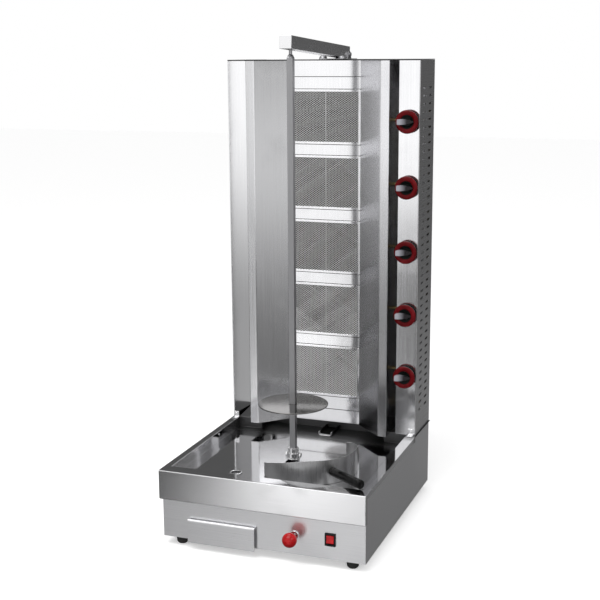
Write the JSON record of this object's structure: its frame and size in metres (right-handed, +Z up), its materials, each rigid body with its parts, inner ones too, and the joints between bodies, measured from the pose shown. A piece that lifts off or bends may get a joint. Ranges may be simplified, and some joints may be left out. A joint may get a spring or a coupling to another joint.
{
  "type": "vertical rotisserie broiler",
  "caption": "Gas broiler with an upright spit turning in front of stacked infrared burners between reflector wings, over a drip tray and drawer.",
  "frame": {"origin": "on the floor, under the middle of the machine's bounding box", "axes": "+Z up, +X to the operator's right, -Y towards the operator"},
  "size_m": [0.527, 0.66, 1.2267],
  "materials": {
    "satin_steel": "satin, brushed",
    "polished_steel": "polished",
    "rubber": "matte",
    "black_plastic": "gloss",
    "red_plastic": "gloss",
    "cast_iron": "matte, cast",
    "brass": "machined",
    "ceramic": "matte, pierced"
  },
  "bodies": {
    "base": {"base_shell": "satin_steel", "base_bottom": "satin_steel", "foot_front_left": "rubber", "foot_front_right": "rubber", "foot_rear_left": "rubber", "foot_rear_right": "rubber", "deck_tray": "satin_steel", "drain_strainer": "polished_steel", "carriage_guide": "satin_steel", "rod_bush": "brass", "switch_housing": "black_plastic", "cable_gland": "black_plastic", "grease_chute": "polished_steel", "arm_bracket": "satin_steel", "arm_pivot_pin": "satin_steel", "top_cover": "satin_steel", "left_wall": "satin_steel", "left_wing": "polished_steel", "right_wing": "polished_steel", "burner_frame": "polished_steel", "control_panel": "satin_steel", "side_vent_panel": "satin_steel", "rear_cover": "satin_steel", "gas_manifold": "brass", "burner_plaque_1": "ceramic", "burner_plaque_2": "ceramic", "burner_plaque_3": "ceramic", "burner_plaque_4": "ceramic", "burner_plaque_5": "ceramic", "burner_plenum_1": "cast_iron", "burner_plenum_2": "cast_iron", "burner_plenum_3": "cast_iron", "burner_plenum_4": "cast_iron", "burner_plenum_5": "cast_iron"},
    "carriage": {"carriage_plate": "satin_steel", "gearbox": "cast_iron", "gear_motor": "cast_iron", "slide_rod": "polished_steel", "ball_knob": "red_plastic"},
    "spit": {"spit_socket": "polished_steel", "clamp_screw_left": "polished_steel", "clamp_screw_right": "polished_steel", "spit_shaft": "polished_steel"},
    "disc": {"meat_disc": "polished_steel"},
    "scoop": {"scoop_pan": "polished_steel", "scoop_grip": "black_plastic"},
    "arm": {"top_arm": "satin_steel", "arm_end_cap": "polished_steel"},
    "drawer": {"drip_drawer": "satin_steel"},
    "rocker": {"switch_rocker": "red_plastic"},
    "valve_1": {"valve_core_1": "brass"},
    "knob_1": {"burner_knob_1": "black_plastic"},
    "valve_2": {"valve_core_2": "brass"},
    "knob_2": {"burner_knob_2": "black_plastic"},
    "valve_3": {"valve_core_3": "brass"},
    "knob_3": {"burner_knob_3": "black_plastic"},
    "valve_4": {"valve_core_4": "brass"},
    "knob_4": {"burner_knob_4": "black_plastic"},
    "valve_5": {"valve_core_5": "brass"},
    "knob_5": {"burner_knob_5": "black_plastic"}
  },
  "joints": [
    {"name": "carriage_slide", "type": "slide", "parent": "base", "child": "carriage", "axis": [0, 1, 0], "range_m": [-0.025, 0.009]},
    {"name": "spit_spin", "type": "hinge", "parent": "carriage", "child": "spit", "pos_m": [-0.0045, -0.047, 0.203], "axis": [0, 0, 1], "continuous": true},
    {"name": "disc_slide", "type": "slide", "parent": "spit", "child": "disc", "axis": [0, 0, 1], "range_m": [-0.06, 0.6]},
    {"name": "arm_lift", "type": "hinge", "parent": "base", "child": "arm", "pos_m": [0.0228, 0.27, 1.1815], "axis": [-0.9971, 0.0765, 0], "range_deg": [0, 75]},
    {"name": "drawer_slide", "type": "slide", "parent": "base", "child": "drawer", "axis": [0, -1, 0], "range_m": [0, 0.165]},
    {"name": "scoop_lift", "type": "slide", "parent": "base", "child": "scoop", "axis": [0.5037, -0.4533, 0.7354], "range_m": [0, 0.32]},
    {"name": "switch_rock", "type": "hinge", "parent": "base", "child": "rocker", "pos_m": [0.1735, -0.274, 0.072], "axis": [1, 0, 0], "range_deg": [0, 14]},
    {"name": "valve_turn_1", "type": "hinge", "parent": "base", "child": "valve_1", "pos_m": [0.2305, 0.163, 1.016], "axis": [0, -1, 0], "range_deg": [0, 180]},
    {"name": "knob_press_1", "type": "slide", "parent": "valve_1", "child": "knob_1", "axis": [0, 1, 0], "range_m": [0, 0.004], "stiffness_N_per_m": 400, "springref_m": -0.002},
    {"name": "valve_turn_2", "type": "hinge", "parent": "base", "child": "valve_2", "pos_m": [0.2305, 0.163, 0.851], "axis": [0, -1, 0], "range_deg": [0, 180]},
    {"name": "knob_press_2", "type": "slide", "parent": "valve_2", "child": "knob_2", "axis": [0, 1, 0], "range_m": [0, 0.004], "stiffness_N_per_m": 400, "springref_m": -0.002},
    {"name": "valve_turn_3", "type": "hinge", "parent": "base", "child": "valve_3", "pos_m": [0.2305, 0.163, 0.686], "axis": [0, -1, 0], "range_deg": [0, 180]},
    {"name": "knob_press_3", "type": "slide", "parent": "valve_3", "child": "knob_3", "axis": [0, 1, 0], "range_m": [0, 0.004], "stiffness_N_per_m": 400, "springref_m": -0.002},
    {"name": "valve_turn_4", "type": "hinge", "parent": "base", "child": "valve_4", "pos_m": [0.2305, 0.163, 0.521], "axis": [0, -1, 0], "range_deg": [0, 180]},
    {"name": "knob_press_4", "type": "slide", "parent": "valve_4", "child": "knob_4", "axis": [0, 1, 0], "range_m": [0, 0.004], "stiffness_N_per_m": 400, "springref_m": -0.002},
    {"name": "valve_turn_5", "type": "hinge", "parent": "base", "child": "valve_5", "pos_m": [0.2305, 0.163, 0.356], "axis": [0, -1, 0], "range_deg": [0, 180]},
    {"name": "knob_press_5", "type": "slide", "parent": "valve_5", "child": "knob_5", "axis": [0, 1, 0], "range_m": [0, 0.004], "stiffness_N_per_m": 400, "springref_m": -0.002}
  ]
}
